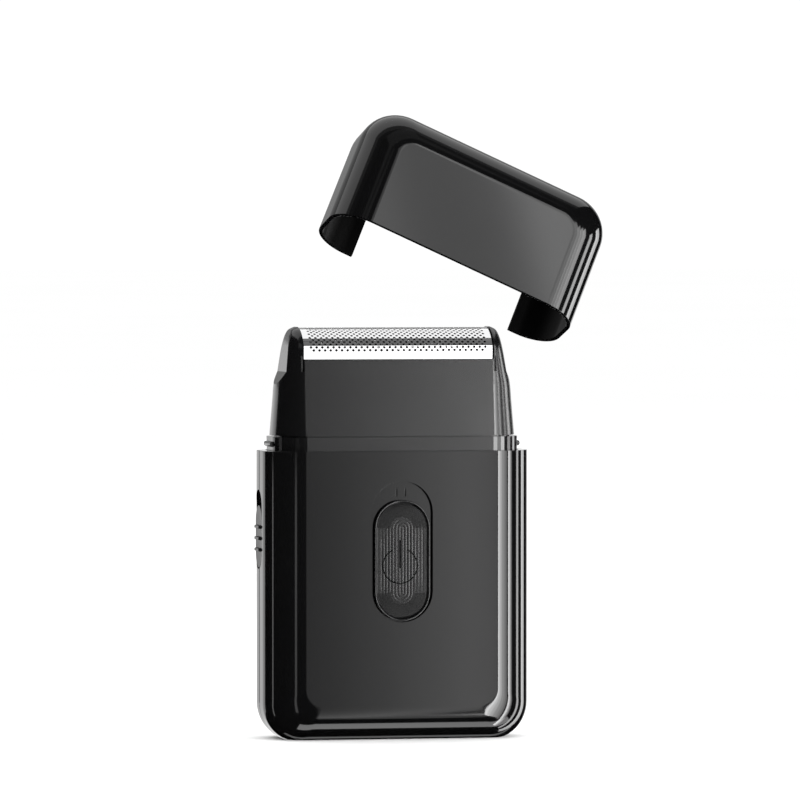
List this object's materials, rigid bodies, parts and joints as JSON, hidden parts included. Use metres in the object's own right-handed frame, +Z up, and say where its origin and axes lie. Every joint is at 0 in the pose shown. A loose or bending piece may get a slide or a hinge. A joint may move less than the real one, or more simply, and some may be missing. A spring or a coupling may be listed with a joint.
{
  "type": "electric shaver",
  "caption": "Compact battery foil shaver: flat filleted body with a slide switch and a side lock, tapered head with an arched perforated foil, and a deep cap held tilted above it.",
  "frame": {"origin": "centre of the flat foot that the shaver stands on", "axes": "+Z up along the body, -Y out of the front panel, +X to the right seen from the front"},
  "size_m": [0.0863, 0.041, 0.1482],
  "materials": {
    "gloss_black_abs": "polished",
    "satin_black_plastic": "satin",
    "metallic_grey_plastic": "metallic lacquer with fine concentric grooves",
    "natural_pom": "moulded",
    "black_rubber": "moulded",
    "stainless_steel": "bright",
    "nickel_plate": "nickel plated spring steel",
    "contact_brass": "bright",
    "circuit_board": "solder resist",
    "cell_wrap": "printed film with no print"
  },
  "bodies": {
    "housing": {"front_housing": "gloss_black_abs", "chassis": "satin_black_plastic", "battery_cell_left": "cell_wrap", "battery_cell_right": "cell_wrap", "cell_spring_left": "nickel_plate", "cell_spring_right": "nickel_plate", "series_link_plate": "nickel_plate", "terminal_plate_left": "nickel_plate", "terminal_plate_right": "nickel_plate", "motor_can": "stainless_steel", "motor_end_bell": "satin_black_plastic", "motor_bracket": "stainless_steel", "bridge_retainer": "natural_pom", "retainer_screw_1": "stainless_steel", "retainer_screw_2": "stainless_steel", "housing_screw_1": "stainless_steel", "housing_screw_2": "stainless_steel", "switch_board": "circuit_board"},
    "cover": {"battery_cover": "gloss_black_abs"},
    "switch": {"power_knob": "metallic_grey_plastic", "switch_carriage": "natural_pom", "contact_wiper": "contact_brass"},
    "lock": {"lock_knob": "satin_black_plastic"},
    "rotor": {"motor_shaft": "stainless_steel", "drive_eccentric": "natural_pom"},
    "bridge": {"drive_bridge": "natural_pom", "pin_boot": "black_rubber", "cutter_spring": "stainless_steel"},
    "cutter": {"cutter_block": "stainless_steel", "cutter_holder": "natural_pom"},
    "head": {"head_frame": "gloss_black_abs"},
    "foil_unit": {"foil": "stainless_steel", "foil_carrier": "satin_black_plastic"},
    "cap": {"cap": "gloss_black_abs"}
  },
  "joints": [
    {"name": "cover_slide", "type": "slide", "parent": "housing", "child": "cover", "axis": [0, 1, 0], "range_m": [0, 0.03]},
    {"name": "switch_slide", "type": "slide", "parent": "housing", "child": "switch", "axis": [0, 0, 1], "range_m": [0, 0.0042]},
    {"name": "lock_slide", "type": "slide", "parent": "housing", "child": "lock", "axis": [0, 0, 1], "range_m": [0, 0.0035]},
    {"name": "motor_spin", "type": "hinge", "parent": "housing", "child": "rotor", "pos_m": [0, 0.0012, 0.06], "axis": [0, 0, 1], "continuous": true},
    {"name": "bridge_stroke", "type": "slide", "parent": "housing", "child": "bridge", "axis": [1, 0, 0], "range_m": [-0.0012, 0.0012]},
    {"name": "cutter_float", "type": "slide", "parent": "bridge", "child": "cutter", "axis": [0, 0, 1], "range_m": [-0.001, 0], "deforming": ["cutter_spring"]},
    {"name": "head_lift", "type": "slide", "parent": "housing", "child": "head", "axis": [0, 0, 1], "range_m": [0, 0.032]},
    {"name": "foil_float", "type": "slide", "parent": "head", "child": "foil_unit", "axis": [0, 0, 1], "range_m": [-0.001, 0], "stiffness_N_per_m": 800, "springref_m": 0.0005},
    {"name": "cap_swing", "type": "hinge", "parent": "head", "child": "cap", "pos_m": [0.06309, 0.04884, 0.0604], "axis": [0.6055, -0.7933, -0.0637], "range_deg": [0, 31.46]}
  ],
  "couplings": [
    {"joint": "cutter_float", "follows": "foil_float", "ratio": 1}
  ]
}
